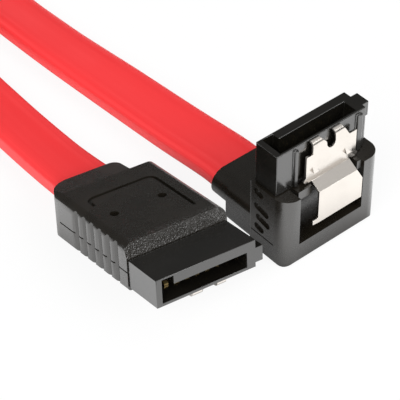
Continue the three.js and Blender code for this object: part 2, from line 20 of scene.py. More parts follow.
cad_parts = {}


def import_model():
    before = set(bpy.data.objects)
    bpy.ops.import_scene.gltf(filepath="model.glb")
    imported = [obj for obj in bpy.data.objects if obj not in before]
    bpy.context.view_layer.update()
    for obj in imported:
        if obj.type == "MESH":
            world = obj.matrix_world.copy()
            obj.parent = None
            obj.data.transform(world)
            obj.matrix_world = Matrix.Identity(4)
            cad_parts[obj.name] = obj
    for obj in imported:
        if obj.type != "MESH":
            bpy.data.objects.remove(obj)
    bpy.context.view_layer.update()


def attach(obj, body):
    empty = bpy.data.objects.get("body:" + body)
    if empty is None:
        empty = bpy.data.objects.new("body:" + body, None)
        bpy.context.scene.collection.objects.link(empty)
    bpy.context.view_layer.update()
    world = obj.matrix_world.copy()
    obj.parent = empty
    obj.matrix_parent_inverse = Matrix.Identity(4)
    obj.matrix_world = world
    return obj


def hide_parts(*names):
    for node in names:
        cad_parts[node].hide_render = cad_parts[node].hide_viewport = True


LOG = logging.getLogger("data_cable")
MM = 0.001

Colour = tuple[float, float, float]
Point = tuple[float, float, float]
Span = tuple[float, float]

WHITE: Colour = (1.0, 1.0, 1.0)


class Body(Enum):
    """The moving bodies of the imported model."""

    CABLE = "cable_and_plugs"
    STRAIGHT_PRESS = "straight_press"
    ANGLED_PRESS = "angled_press"


class Slot(Enum):
    """The material slots of the record."""

    PLUG = "plug_plastic"
    BOOT = "boot_plastic"
    STEEL = "spring_steel"
    GOLD = "contact_gold"
    MOULD = "inner_mould"
    JACKET = "cable_jacket"


# Shader graphs


class Value:
    """A shader socket that takes part in Python arithmetic."""

    def __init__(self, graph: Graph, socket: bpy.types.NodeSocket) -> None:
        """Keeps the graph that new Math nodes go into and the socket."""
        self.graph = graph
        self.socket = socket

    def _maths(self, operation: str, first: Any, second: Any = 0.0) -> Value:
        """Adds one Math node.

        Args:
            operation: the Math node's operation.
            first: its first value, a number or a Value.
            second: its second value.

        Returns:
            The node's result.
        """
        return self.graph.node("ShaderNodeMath", {"operation": operation}, {0: first, 1: second})

    def __add__(self, other: Any) -> Value:
        """Adds a number or a Value."""
        return self._maths("ADD", self, other)

    def __sub__(self, other: Any) -> Value:
        """Takes away a number or a Value."""
        return self._maths("SUBTRACT", self, other)

    def __rsub__(self, other: Any) -> Value:
        """Takes this from a number."""
        return self._maths("SUBTRACT", other, self)

    def __mul__(self, other: Any) -> Value:
        """Multiplies by a number or a Value."""
        return self._maths("MULTIPLY", self, other)

    __radd__ = __add__
    __rmul__ = __mul__

    def largest(self, other: Any) -> Value:
        """Gives the larger of this and another."""
        return self._maths("MAXIMUM", self, other)

    def step(self, low: float, high: float) -> Value:
        """Rises smoothly from 0 at low to 1 at high, or falls where low is above high."""
        rising = low < high
        ends = (low, high) if rising else (high, low)
        out = (0.0, 1.0) if rising else (1.0, 0.0)
        return self.graph.node(
            "ShaderNodeMapRange",
            {"interpolation_type": "SMOOTHSTEP"},
            {"Value": self, "From Min": ends[0], "From Max": ends[1], "To Min": out[0], "To Max": out[1]},
        )


class Graph:
    """The node tree of one material or world, cleared."""

    def __init__(self, tree: bpy.types.NodeTree) -> None:
        """Clears the tree."""
        tree.nodes.clear()
        self.tree = tree

    def node(
        self,
        kind: str,
        settings: dict[str, Any] | None = None,
        values: dict[Any, Any] | None = None,
        output: int | str = 0,
    ) -> Value:
        """Adds any node.

        Args:
            kind: the node's type.
            settings: what is set on the node first, such as a Math node's operation.
            values: numbers, colours or Values for its inputs, by name or number.
            output: which output to give back.

        Returns:
            That output.
        """
        made = self.tree.nodes.new(kind)
        for name, setting in (settings or {}).items():
            setattr(made, name, setting)
        for key, value in (values or {}).items():
            socket = made.inputs[key]
            if isinstance(value, Value):
                self.tree.links.new(value.socket, socket)
            else:
                socket.default_value = value
        return Value(self, made.outputs[output])

    def mix(self, share: Value | float, first: Any, second: Any) -> Value:
        """Mixes two colours by a share of the second."""
        return self.node(
            "ShaderNodeMix",
            {"data_type": "RGBA"},
            {"Factor": share, 6: _rgba(first), 7: _rgba(second)},
            output=2,
        )

    def place(self, size: Sequence[float] = (1.0, 1.0, 1.0)) -> Value:
        """Gives the object's own coordinates, scaled."""
        spot = self.node("ShaderNodeTexCoord", output="Object")
        return self.node("ShaderNodeMapping", {}, {"Vector": spot, "Scale": size})

    def measure(self, operation: str, *vectors: Any) -> Value:
        """Gives a number worked out from one or two vectors, such as a length or a dot product."""
        return self.node(
            "ShaderNodeVectorMath",
            {"operation": operation},
            dict(enumerate(vectors)),
            output="Value",
        )

    def ray(self, kind: str) -> Value:
        """Gives 1 for rays of one kind, named as the Light Path node names them."""
        return self.node("ShaderNodeLightPath", output=kind)

    def noise(self, spot: Value, scale: float, detail: float = 2.0, roughness: float = 0.5) -> Value:
        """Gives a smooth random pattern from 0 to 1."""
        values = {"Vector": spot, "Scale": scale, "Detail": detail, "Roughness": roughness}
        return self.node("ShaderNodeTexNoise", {}, values)

    def bump(self, height: Value, depth: float, strength: float, normal: Value | None = None) -> Value:
        """Turns a height from 0 to 1 into a normal, with its full depth in metres."""
        values: dict[str, Any] = {"Height": height, "Distance": depth, "Strength": strength}
        if normal is not None:
            values["Normal"] = normal
        return self.node("ShaderNodeBump", {}, values)

    def surface(self, values: dict[str, Any]) -> None:
        """Ends the graph in a Principled shader with these values."""
        shader = self.node("ShaderNodeBsdfPrincipled", {}, values)
        self.node_output("ShaderNodeOutputMaterial", shader)

    def node_output(self, kind: str, shader: Value) -> None:
        """Ends the graph in an output node."""
        out = self.tree.nodes.new(kind)
        self.tree.links.new(shader.socket, out.inputs["Surface"])


def _rgba(colour: Any) -> Any:
    """Gives a colour its fourth number, and leaves a Value as it is."""
    return colour if isinstance(colour, Value) else (*colour, 1.0)


def new_graph(name: str) -> tuple[bpy.types.Material, Graph]:
    """Makes an empty node material.

    Args:
        name: the material's name.

    Returns:
        The material and its cleared graph.
    """
    material = bpy.data.materials.new(name)
    material.use_nodes = True
    return material, Graph(material.node_tree)


def uneven(middle: float, *swings: tuple[Value, float]) -> Value:
    """Lets a value swing round its middle.

    Args:
        middle: the value's middle.
        swings: noises from 0 to 1, each with the full width of its swing.

    Returns:
        The middle, less half of all widths, plus each noise times its width.
    """
    first, *others = [noise * width for noise, width in swings]
    lowest = middle - sum(width for _, width in swings) / 2
    return sum(others, first) + lowest


# Finishes


@dataclass(frozen=True)
class MouldedPlastic:
    """Moulded plastic: a fine spark-eroded grain, faint flow marks and a little dust."""

    name: str
    colour: Colour
    light: Colour
    roughness: float
    grain_scale: float
    grain_depth: float
    gloss: float

    CLOUD_SCALE: ClassVar[float] = 260.0
    CLOUD_EDGE: ClassVar[Span] = (0.35, 0.75)
    CLOUD_SHARE: ClassVar[float] = 0.7
    CLOUD_SWING: ClassVar[float] = 0.12
    GRAIN_SWING: ClassVar[float] = 0.1
    GRAIN_ROUGHNESS: ClassVar[float] = 0.6
    GRAIN_STRENGTH: ClassVar[float] = 0.6
    DUST_SCALE: ClassVar[float] = 5200.0
    DUST_EDGE: ClassVar[Span] = (0.735, 0.78)
    DUST_SHARE: ClassVar[float] = 0.25

    def material(self) -> bpy.types.Material:
        """Builds the material from noise at the scale of the grain and at the scale of the piece."""
        material, graph = new_graph(self.name)
        spot = graph.place()
        cloud = graph.noise(spot, self.CLOUD_SCALE, detail=3.0)
        grain = graph.noise(spot, self.grain_scale, detail=3.0, roughness=self.GRAIN_ROUGHNESS)
        dust = graph.noise(spot, self.DUST_SCALE, detail=1.0).step(*self.DUST_EDGE)
        paler = cloud.step(*self.CLOUD_EDGE) * self.CLOUD_SHARE + dust * self.DUST_SHARE
        graph.surface(
            {
                "Base Color": graph.mix(paler, self.colour, self.light),
                "Roughness": uneven(self.roughness, (cloud, self.CLOUD_SWING), (grain, self.GRAIN_SWING)),
                "Specular IOR Level": self.gloss,
                "Normal": graph.bump(grain, self.grain_depth, self.GRAIN_STRENGTH),
            }
        )
        return material


@dataclass(frozen=True)
class TexturedBoot:
    """The straight boot's plastic, whose bevelled front band has a coarse pebbled grain.

    The band is found by the distance behind the mouth, in millimetres along the plug's own direction.
    """

    name: str
    base: MouldedPlastic
    backward: Point
    mouth: float

    BAND_WHOLE: ClassVar[float] = 5.6
    BAND_GONE: ClassVar[float] = 6.4
    PEBBLE_SCALE: ClassVar[float] = 6500.0
    PEBBLE_DEPTH: ClassVar[float] = 0.00005
    PEBBLE_STRENGTH: ClassVar[float] = 0.8
    CLOUD_SCALE: ClassVar[float] = 240.0
    CLOUD_EDGE: ClassVar[Span] = (0.35, 0.75)
    CLOUD_SHARE: ClassVar[float] = 0.8
    CLOUD_SWING: ClassVar[float] = 0.12
    GRAIN_SCALE: ClassVar[float] = 7000.0
    GRAIN_SWING: ClassVar[float] = 0.08
    GRAIN_DEPTH: ClassVar[float] = 0.00001
    GRAIN_STRENGTH: ClassVar[float] = 0.6

    def material(self) -> bpy.types.Material:
        """Builds the material from two noises, with round cells for the band's pebbles."""
        material, graph = new_graph(self.name)
        spot = graph.place()
        along = graph.measure("DOT_PRODUCT", spot, self.backward)
        gone, whole = ((self.mouth + reach) * MM for reach in (self.BAND_GONE, self.BAND_WHOLE))
        band = along.step(gone, whole)
        cloud = graph.noise(spot, self.CLOUD_SCALE, detail=3.0)
        grain = graph.noise(spot, self.GRAIN_SCALE)
        cells = {"Vector": spot, "Scale": self.PEBBLE_SCALE}
        pebble = graph.node("ShaderNodeTexVoronoi", {"feature": "SMOOTH_F1"}, cells)
        smooth = graph.bump(grain, self.GRAIN_DEPTH, self.GRAIN_STRENGTH)
        paler = cloud.step(*self.CLOUD_EDGE) * self.CLOUD_SHARE
        swings = ((cloud, self.CLOUD_SWING), (grain, self.GRAIN_SWING))
        graph.surface(
            {
                "Base Color": graph.mix(paler, self.base.colour, self.base.light),
                "Roughness": uneven(self.base.roughness, *swings),
                "Specular IOR Level": self.base.gloss,
                "Normal": graph.bump(pebble * band, self.PEBBLE_DEPTH, self.PEBBLE_STRENGTH, smooth),
            }
        )
        return material


@dataclass(frozen=True)
class StampedSteel:
    """Bright spring sheet with a faint rolled grain along one direction and a few handling marks."""

    name: str
    colour: Colour
    stain: Colour
    roughness: float

    GRAIN_STRETCH: ClassVar[Point] = (1.0, 0.06, 1.0)
    GRAIN_SCALE: ClassVar[float] = 9000.0
    GRAIN_SWING: ClassVar[float] = 0.08
    GRAIN_DEPTH: ClassVar[float] = 0.000004
    GRAIN_STRENGTH: ClassVar[float] = 0.5
    CLOUD_SCALE: ClassVar[float] = 420.0
    CLOUD_EDGE: ClassVar[Span] = (0.45, 0.8)
    CLOUD_SHARE: ClassVar[float] = 0.5
    CLOUD_SWING: ClassVar[float] = 0.1

    def material(self) -> bpy.types.Material:
        """Builds the material; the grain is noise stretched along the sheet."""
        material, graph = new_graph(self.name)
        grain = graph.noise(graph.place(self.GRAIN_STRETCH), self.GRAIN_SCALE)
        cloud = graph.noise(graph.place(), self.CLOUD_SCALE, detail=3.0)
        stained = cloud.step(*self.CLOUD_EDGE) * self.CLOUD_SHARE
        graph.surface(
            {
                "Base Color": graph.mix(stained, self.colour, self.stain),
                "Metallic": 1.0,
                "Roughness": uneven(self.roughness, (grain, self.GRAIN_SWING), (cloud, self.CLOUD_SWING)),
                "Normal": graph.bump(grain, self.GRAIN_DEPTH, self.GRAIN_STRENGTH),
            }
        )
        return material


@dataclass(frozen=True)
class PlatedContact:
    """Gold plating with slight colour drift."""

    name: str
    colour: Colour
    dull: Colour
    roughness: float

    CLOUD_SCALE: ClassVar[float] = 900.0
    CLOUD_EDGE: ClassVar[Span] = (0.4, 0.8)
    CLOUD_SWING: ClassVar[float] = 0.15
    CLOUD_DEPTH: ClassVar[float] = 0.00001
    CLOUD_STRENGTH: ClassVar[float] = 0.3

    def material(self) -> bpy.types.Material:
        """Builds the material from one cloudy noise."""
        material, graph = new_graph(self.name)
        cloud = graph.noise(graph.place(), self.CLOUD_SCALE, detail=3.0)
        graph.surface(
            {
                "Base Color": graph.mix(cloud.step(*self.CLOUD_EDGE), self.colour, self.dull),
                "Metallic": 1.0,
                "Roughness": uneven(self.roughness, (cloud, self.CLOUD_SWING)),
                "Normal": graph.bump(cloud, self.CLOUD_DEPTH, self.CLOUD_STRENGTH),
            }
        )
        return material


@dataclass(frozen=True)
class CableJacket:
    """Soft red extruded jacket: long faint streaks along the cable, fine dimples and a low sheen."""

    name: str
    colour: Colour
    light: Colour
    deep: Colour
    roughness: float
    gloss: float

    STREAK_SCALE: ClassVar[Point] = (22.0, 5.0, 1.0)
    STREAK_EDGE: ClassVar[Span] = (0.35, 0.7)
    STREAK_SWING: ClassVar[float] = 0.14
    STREAK_DEPTH: ClassVar[float] = 0.00004
    STREAK_STRENGTH: ClassVar[float] = 0.5
    CLOUD_SCALE: ClassVar[float] = 130.0
    CLOUD_EDGE: ClassVar[Span] = (0.3, 0.7)
    CLOUD_SHARE: ClassVar[float] = 0.5
    CLOUD_LEAST: ClassVar[float] = 0.25
    CLOUD_SWING: ClassVar[float] = 0.08
    DIMPLE_SCALE: ClassVar[float] = 3400.0
    DIMPLE_DEPTH: ClassVar[float] = 0.00001
    DIMPLE_STRENGTH: ClassVar[float] = 0.5

    def material(self) -> bpy.types.Material:
        """Builds the material on the cable's own UV map, U round the section and V along it."""
        material, graph = new_graph(self.name)
        wrap = graph.node("ShaderNodeUVMap", {"uv_map": FlatCable.UV_NAME})
        streak_spot = graph.node("ShaderNodeMapping", {}, {"Vector": wrap, "Scale": self.STREAK_SCALE})
        streak = graph.noise(streak_spot, scale=1.0)
        cloud = graph.noise(graph.place(), self.CLOUD_SCALE)
        dimple = graph.noise(graph.place(), self.DIMPLE_SCALE)
        tone = graph.mix(streak.step(*self.STREAK_EDGE), self.deep, self.light)
        cloudy = cloud.step(*self.CLOUD_EDGE) * self.CLOUD_SHARE + self.CLOUD_LEAST
        rough = graph.bump(dimple, self.DIMPLE_DEPTH, self.DIMPLE_STRENGTH)
        graph.surface(
            {
                "Base Color": graph.mix(cloudy, self.colour, tone),
                "Roughness": uneven(self.roughness, (streak, self.STREAK_SWING), (cloud, self.CLOUD_SWING)),
                "Specular IOR Level": self.gloss,
                "Normal": graph.bump(streak, self.STREAK_DEPTH, self.STREAK_STRENGTH, rough),
            }
        )
        return material


PLUG_BLACK = MouldedPlastic(
    name="plug plastic",
    colour=(0.0065, 0.0058, 0.0045),
    light=(0.0105, 0.0094, 0.0073),
    roughness=0.2,
    grain_scale=6500.0,
    grain_depth=0.000006,
    gloss=1.0,
)
BOOT_BLACK = MouldedPlastic(
    name="boot plastic",
    colour=(0.0088, 0.0069, 0.0043),
    light=(0.0144, 0.0113, 0.0075),
    roughness=0.28,
    grain_scale=5200.0,
    grain_depth=0.00001,
    gloss=1.0,
)
PALE_MOULD = MouldedPlastic(
    name="inner moulding",
    colour=(0.72, 0.69, 0.6),
    light=(0.8, 0.77, 0.69),
    roughness=0.5,
    grain_scale=4200.0,
    grain_depth=0.00001,
    gloss=0.5,
)
SPRING_STEEL = StampedSteel(
    name="spring steel",
    colour=(0.56, 0.525, 0.485),
    stain=(0.51, 0.475, 0.435),
    roughness=0.22,
)
CONTACT_GOLD = PlatedContact(
    name="contact plating",
    colour=(0.72, 0.52, 0.21),
    dull=(0.55, 0.4, 0.17),
    roughness=0.305,
)
RED_JACKET = CableJacket(
    name="cable jacket",
    colour=(0.95, 0.043, 0.047),
    light=(0.98, 0.062, 0.066),
    deep=(0.9, 0.034, 0.038),
    roughness=0.42,
    gloss=0.45,
)


# Meshes


def add_object(name: str, data: bpy.types.ID) -> bpy.types.Object:
    """Makes an object of a mesh, a lamp or a camera and links it into the scene."""
    made = bpy.data.objects.new(name, data)
    bpy.context.scene.collection.objects.link(made)
    return made


def closed_tube(name: str, rings: np.ndarray, uv_name: str, uv: np.ndarray) -> bpy.types.Object:
    """Makes a closed tube from rings of points.

    A face joins each point to the next round its ring and to the same two points of the next ring; one flat
    face closes each end.

    Args:
        name: the object's name.
        rings: points in metres, rings by points round each ring by 3, wound so that the faces point out.
        uv_name: the UV map's name.
        uv: U and V of each point, with one more column than the rings for the seam.

    Returns:
        The object, linked into the scene.
    """
    count, around, _ = rings.shape
    ring, side = np.meshgrid(np.arange(count - 1), np.arange(around), indexing="ij")
    here = ring * around + side
    beside = ring * around + (side + 1) % around
    sides = np.stack([here, beside, beside + around, here + around], axis=-1).reshape(-1, 4)
    first_cap = list(range(around - 1, -1, -1))
    last_cap = list(range((count - 1) * around, count * around))
    mesh = bpy.data.meshes.new(name)
    mesh.from_pydata(rings.reshape(-1, 3).tolist(), [], [*sides.tolist(), first_cap, last_cap])
    corner_uv = [uv[ring, side], uv[ring, side + 1], uv[ring + 1, side + 1], uv[ring + 1, side]]
    side_uv = np.stack(corner_uv, axis=2).reshape(-1, 2)
    layer = mesh.uv_layers.new(name=uv_name)
    cap_uv = np.concatenate([uv[0, :around][::-1], uv[-1, :around]])
    layer.data.foreach_set("uv", np.concatenate([side_uv, cap_uv]).ravel())
    mesh.update()
    return add_object(name, mesh)


def shade_round(piece: bpy.types.Object, sharp_angle: float) -> None:
    """Shades a piece smooth, with edges sharper than an angle in degrees kept crisp."""
    piece.data.shade_smooth()
    piece.data.set_sharp_from_angle(angle=math.radians(sharp_angle))


@dataclass
class DressedSolid:
    """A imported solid's copy with merged points, whole flats and softened edges.

    The edge is the softening's width in millimetres, and points closer than MERGE metres become one. Faces
    that meet within FLAT_ANGLE degrees are one flat, and edges past SHARP_ANGLE degrees are softened.
    """

    node: str
    body: Body
    slot: Slot
    edge: float

    SEGMENTS: ClassVar[int] = 2
    MERGE: ClassVar[float] = 2e-7
    FLAT_ANGLE: ClassVar[float] = 0.4
    SHARP_ANGLE: ClassVar[float] = 32.0
    FLATNESS: ClassVar[int] = 90

    def build(self, material: bpy.types.Material) -> None:
        """Copies the node, merges it, softens its edges and puts it in the node's place.

        Args:
            material: the piece's finish.
        """
        mesh = bpy.data.objects[self.node].data.copy()
        work = bmesh.new()
        work.from_mesh(mesh)
        bmesh.ops.remove_doubles(work, verts=work.verts, dist=self.MERGE)
        bmesh.ops.dissolve_limit(
            work,
            angle_limit=math.radians(self.FLAT_ANGLE),
            verts=work.verts,
            edges=work.edges,
            delimit=set(),
        )
        work.to_mesh(mesh)
        work.free()
        mesh.materials.clear()
        mesh.materials.append(material)
        piece = add_object(f"{self.node}_dressed", mesh)
        shade_round(piece, self.SHARP_ANGLE)
        soften = piece.modifiers.new("softened edges", "BEVEL")
        soften.width = self.edge * MM
        soften.segments = self.SEGMENTS
        soften.limit_method = "ANGLE"
        soften.angle_limit = math.radians(self.SHARP_ANGLE)
        weigh = piece.modifiers.new("flat faces", "WEIGHTED_NORMAL")
        weigh.mode = "FACE_AREA"
        weigh.weight = self.FLATNESS
        weigh.keep_sharp = True
        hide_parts(self.node)
        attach(piece, self.body.value)
        LOG.info("%s dressed", self.node)


# Plugs


@dataclass(frozen=True)
class StraightPlace:
    """Where the straight plug lies: its latch-side mouth edge in millimetres and its turns in degrees."""

    position: Point = (-16.8, -1.75, 4.525)
    nose_up: float = -11.2
    roll: float = 6.3
    yaw: float = -3.0

    def matrix(self) -> Matrix:
        """Turns about y, then x, then z, and moves into place."""
        turn = (
            Matrix.Rotation(math.radians(self.yaw), 4, "Z")
            @ Matrix.Rotation(math.radians(self.nose_up), 4, "X")
            @ Matrix.Rotation(math.radians(self.roll), 4, "Y")
        )
        return Matrix.Translation(Vector(self.position)) @ turn

    def boot_finish(self) -> TexturedBoot:
        """Gives the finish of the plug's boot, which follows the plug's own direction."""
        backward = self.matrix().to_3x3() @ Vector((0.0, 1.0, 0.0))
        mouth = backward.dot(Vector(self.position))
        return TexturedBoot("textured boot plastic", BOOT_BLACK, tuple(backward), mouth)


@dataclass
class Plug:
    """One plug's pieces: housing, latch, boot, seven contacts and inner moulding.

    The edges are the widths of their softening in millimetres.
    """

    prefix: str
    press: Body
    boot_material: bpy.types.Material
    contact_count: int = 7
    housing_edge: float = 0.09
    boot_edge: float = 0.05
    latch_edge: float = 0.02

    def build(self, finishes: dict[Slot, bpy.types.Material]) -> None:
        """Dresses the plug's nodes.

        Args:
            finishes: the material of each slot.
        """
        steel, black = finishes[Slot.STEEL], finishes[Slot.PLUG]
        DressedSolid(f"{self.prefix}_housing", Body.CABLE, Slot.PLUG, self.housing_edge).build(black)
        DressedSolid(f"{self.prefix}_latch", self.press, Slot.STEEL, self.latch_edge).build(steel)
        boot = DressedSolid(f"{self.prefix}_boot", Body.CABLE, Slot.BOOT, self.boot_edge)
        boot.build(self.boot_material)
        for number in range(1, self.contact_count + 1):
            self._dress_node(f"{self.prefix}_contact_{number}", finishes[Slot.GOLD])
        self._dress_node(f"{self.prefix}_inner_mould", finishes[Slot.MOULD])

    @staticmethod
    def _dress_node(node: str, material: bpy.types.Material) -> None:
        """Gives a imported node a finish."""
        mesh = bpy.data.objects[node].data
        mesh.materials.clear()
        mesh.materials.append(material)
        LOG.info("%s dressed", node)


# Cable


@dataclass
class FlatCable:
    """The flat cable on one smooth route; its round-edged section dips a little between its two cores.

    A row of a run is a point's x, y and height in millimetres and the cable's roll there in degrees. The
    first run leaves the straight plug, the loop stands on edge, and the second run ends in the right-angled
    plug.
    """

    width: float = 7.0
    thickness: float = 2.2
    squareness: float = 0.42
    dip: float = 0.05
    dip_width: float = 0.8
    seat: float = 1.55
    straight_offset: float = -0.3
    straight_end: float = 20.7
    straight_height: float = 2.45
    angled_offset: float = -1.5
    angled_end: float = 11.0
    angled_height: float = 2.8
    steps: int = 14
    around: int = 56

    UV_NAME: ClassVar[str] = "cable_wrap"
    SHARP_ANGLE: ClassVar[float] = 60.0
    FIRST_RUN: ClassVar[tuple[tuple[float, float, float, float], ...]] = (
        (-15.5, 26.0, 1.95, 10.0),
        (-15.3, 34.0, 1.7, 12.0),
        (-14.85, 46.0, 1.65, 11.0),
        (-13.8, 60.0, 1.4, 4.0),
        (-13.1, 70.0, 1.25, 0.0),
        (-13.0, 78.0, 1.4, 3.0),
        (-13.0, 84.0, 2.25, 22.0),
        (-13.0, 90.0, 3.0, 45.0),
        (-13.0, 96.0, 3.5, 68.0),
    )
    LOOP_MIDDLE: ClassVar[float] = -8.0
    LOOP_HALF_GAP: ClassVar[float] = 5.0
    LOOP_NECK: ClassVar[float] = 109.0
    LOOP_RADIUS: ClassVar[float] = 28.0
    LOOP_HEIGHT: ClassVar[float] = 3.6
    NECK_POINTS: ClassVar[int] = 3
    CROWN_POINTS: ClassVar[int] = 13
    ON_EDGE: ClassVar[float] = 90.0
    SECOND_RUN: ClassVar[tuple[tuple[float, float, float, float], ...]] = (
        (-3.0, 96.0, 3.5, 68.0),
        (-3.0, 90.0, 3.0, 45.0),
        (-3.0, 84.0, 2.25, 22.0),
        (-3.0, 78.0, 1.4, 3.0),
        (-3.1, 71.0, 1.25, 0.0),
        (-3.2, 64.0, 1.35, -2.0),
        (-3.3, 57.0, 1.5, -4.0),
        (-3.1, 50.0, 1.6, -9.0),
        (-2.85, 42.0, 1.7, -7.0),
        (-2.25, 32.0, 1.85, -2.0),
        (-1.85, 21.0, 2.35, 0.0),
    )

    def _loop_points(self) -> np.ndarray:
        """Works out the loop.

        From the neck the two strands lean apart, each round a circle, and a third circle joins them.

        Returns:
            Its points in millimetres.
        """
        radius = self.LOOP_RADIUS
        lean = math.acos((self.LOOP_HALF_GAP + radius) / (2 * radius))
        crown = self.LOOP_NECK + 2 * radius * math.sin(lean)
        angle = lean * np.arange(self.NECK_POINTS) / self.NECK_POINTS
        reach = self.LOOP_HALF_GAP + radius * (1 - np.cos(angle))
        rise = self.LOOP_NECK + radius * np.sin(angle)
        turn = np.linspace(math.pi + lean, -lean, self.CROWN_POINTS)
        across = np.concatenate([-reach, radius * np.cos(turn), reach[::-1]])
        along = np.concatenate([rise, crown + radius * np.sin(turn), rise[::-1]])
        return np.stack([self.LOOP_MIDDLE + across, along, np.full_like(across, self.LOOP_HEIGHT)], axis=1)

    def _points(self, place: Matrix) -> tuple[np.ndarray, np.ndarray]:
        """Gathers the route's points and rolls.

        Args:
            place: the straight plug's placing in millimetres.

        Returns:
            The points in millimetres and the rolls in radians.
        """
        beyond = (-self.seat, 0.0, self.thickness)
        leaving = [(self.straight_offset, self.straight_end + b, self.straight_height) for b in beyond]
        start = [tuple(place @ Vector(point)) for point in leaving]
        end = [(self.angled_offset, self.angled_end + b, self.angled_height) for b in reversed(beyond)]
        loop = self._loop_points()
        first, second = np.array(self.FIRST_RUN), np.array(self.SECOND_RUN)
        points = np.vstack([start, first[:, :3], loop, second[:, :3], end])
        plug_roll = math.degrees(-math.asin((place.to_3x3() @ Vector((1.0, 0.0, 0.0))).z))
        start_rolls = np.full(len(start), plug_roll)
        loop_rolls = np.full(len(loop), self.ON_EDGE)
        rolls = np.concatenate([start_rolls, first[:, 3], loop_rolls, second[:, 3], np.zeros(len(end))])
        return points, np.radians(rolls)

    def route(self, place: Matrix) -> tuple[np.ndarray, np.ndarray, np.ndarray]:
        """Works out the smooth route.

        Between two points it is a cubic with the tangents of a centripetal Catmull-Rom curve. Each tangent
        weighs the chords before and after its point by the square roots of their lengths. The first and
        last point are mirrored to give the outer chords. The roll runs evenly from point to point.

        Args:
            place: the straight plug's placing in millimetres.

        Returns:
            Positions in millimetres, unit tangents and rolls in radians, one row per step.
        """
        points, rolls = self._points(place)
        outer = np.vstack([2 * points[0] - points[1], points, 2 * points[-1] - points[-2]])
        chord = np.diff(outer, axis=0)
        span = np.sqrt(np.linalg.norm(chord, axis=1))[:, None]
        before, middle, after = span[:-2], span[1:-1], span[2:]
        slope_before, slope, slope_after = chord[:-2] / before, chord[1:-1] / middle, chord[2:] / after
        start_tangent = (slope_before - (chord[:-2] + chord[1:-1]) / (before + middle) + slope) * middle
        end_tangent = (slope - (chord[1:-1] + chord[2:]) / (middle + after) + slope_after) * middle
        share = np.linspace(0.0, 1.0, self.steps, endpoint=False)[None, :, None]
        start, end = points[:-1, None], points[1:, None]
        head, tail = start_tangent[:, None], end_tangent[:, None]
        bend, twist = 3 * (end - start) - 2 * head - tail, 2 * (start - end) + head + tail
        position = start + head * share + bend * share**2 + twist * share**3
        tangent = head + 2 * bend * share + 3 * twist * share**2
        roll = rolls[:-1, None] + (rolls[1:] - rolls[:-1])[:, None] * share[0, :, 0]
        position = np.vstack([position.reshape(-1, 3), points[-1]])
        tangent = np.vstack([tangent.reshape(-1, 3), end_tangent[-1]])
        tangent /= np.linalg.norm(tangent, axis=1, keepdims=True)
        return position, tangent, np.append(roll.ravel(), rolls[-1])

    def section(self) -> np.ndarray:
        """Works out the section: a superellipse whose height dips at the middle by a bell curve.

        Returns:
            The points across and through, in millimetres.
        """
        angle = np.linspace(0.0, 2 * math.pi, self.around, endpoint=False)
        cosine, sine = np.cos(angle), np.sin(angle)
        across = self.width / 2 * np.sign(cosine) * np.abs(cosine) ** self.squareness
        through = self.thickness / 2 * np.sign(sine) * np.abs(sine) ** self.squareness
        bell = 1 - self.dip * np.exp(-((across / self.dip_width) ** 2))
        return np.stack([across, through * bell], axis=1)

    def build(self, place: Matrix, material: bpy.types.Material) -> None:
        """A ring's width direction is level and square to the route, turned about the route by the roll.

        Args:
            place: the straight plug's placing in millimetres.
            material: the jacket's finish.
        """
        position, tangent, roll = self.route(place)
        level = np.cross(tangent, (0.0, 0.0, 1.0))
        level /= np.linalg.norm(level, axis=1, keepdims=True)
        rise = np.cross(tangent, level)
        width_way = level * np.cos(roll)[:, None] + rise * np.sin(roll)[:, None]
        thick_way = np.cross(tangent, width_way)
        section = self.section()
        rings = (
            position[:, None]
            + width_way[:, None] * section[None, :, :1]
            + thick_way[:, None] * section[None, :, 1:]
        )
        stretches = np.linalg.norm(np.diff(position, axis=0), axis=1)
        travelled = np.concatenate([[0.0], np.cumsum(stretches)]) * MM
        round_share = np.linspace(0.0, 1.0, self.around + 1)
        uv = np.stack(np.broadcast_arrays(round_share[None, :], travelled[:, None]), axis=-1)
        cable = closed_tube("flat_cable", rings * MM, self.UV_NAME, uv)
        cable.data.materials.append(material)
        shade_round(cable, self.SHARP_ANGLE)
        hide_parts("cable_straight_run", "cable_loop", "cable_angled_run")
        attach(cable, Body.CABLE.value)
        tuple(position[0] * MM)
        (position * MM).tolist()
        LOG.info("flat cable, %.0f mm long", travelled[-1] / MM)


# Studio


@dataclass(frozen=True)
class PhotographView:
    """The photograph's camera.

    Place and target are in millimetres, the roll in degrees and the focal length in image widths.
    """

    location: Point = (-92.87, -93.07, 127.88)
    target: Point = (-6.05, 12.34, 0.0)
    roll: float = 0.64
    focal: float = 4.25
    sensor: float = 36.0
    nearest: float = 0.01

    def build(self) -> None:
        """Makes the camera and gives it to the scene."""
        forward = (Vector(self.target) - Vector(self.location)).normalized()
        level = forward.cross(Vector((0.0, 0.0, 1.0))).normalized()
        right = Matrix.Rotation(math.radians(self.roll), 3, forward) @ level
        up = right.cross(forward)
        lens = bpy.data.cameras.new("photograph view")
        lens.sensor_width = self.sensor
        lens.sensor_fit = "HORIZONTAL"
        lens.lens = self.focal * self.sensor
        lens.clip_start = self.nearest
        camera = add_object("photograph view", lens)
        turn = Matrix((right, up, -forward)).transposed().to_4x4()
        camera.matrix_world = Matrix.Translation(Vector(self.location) * MM) @ turn
        bpy.context.scene.camera = camera


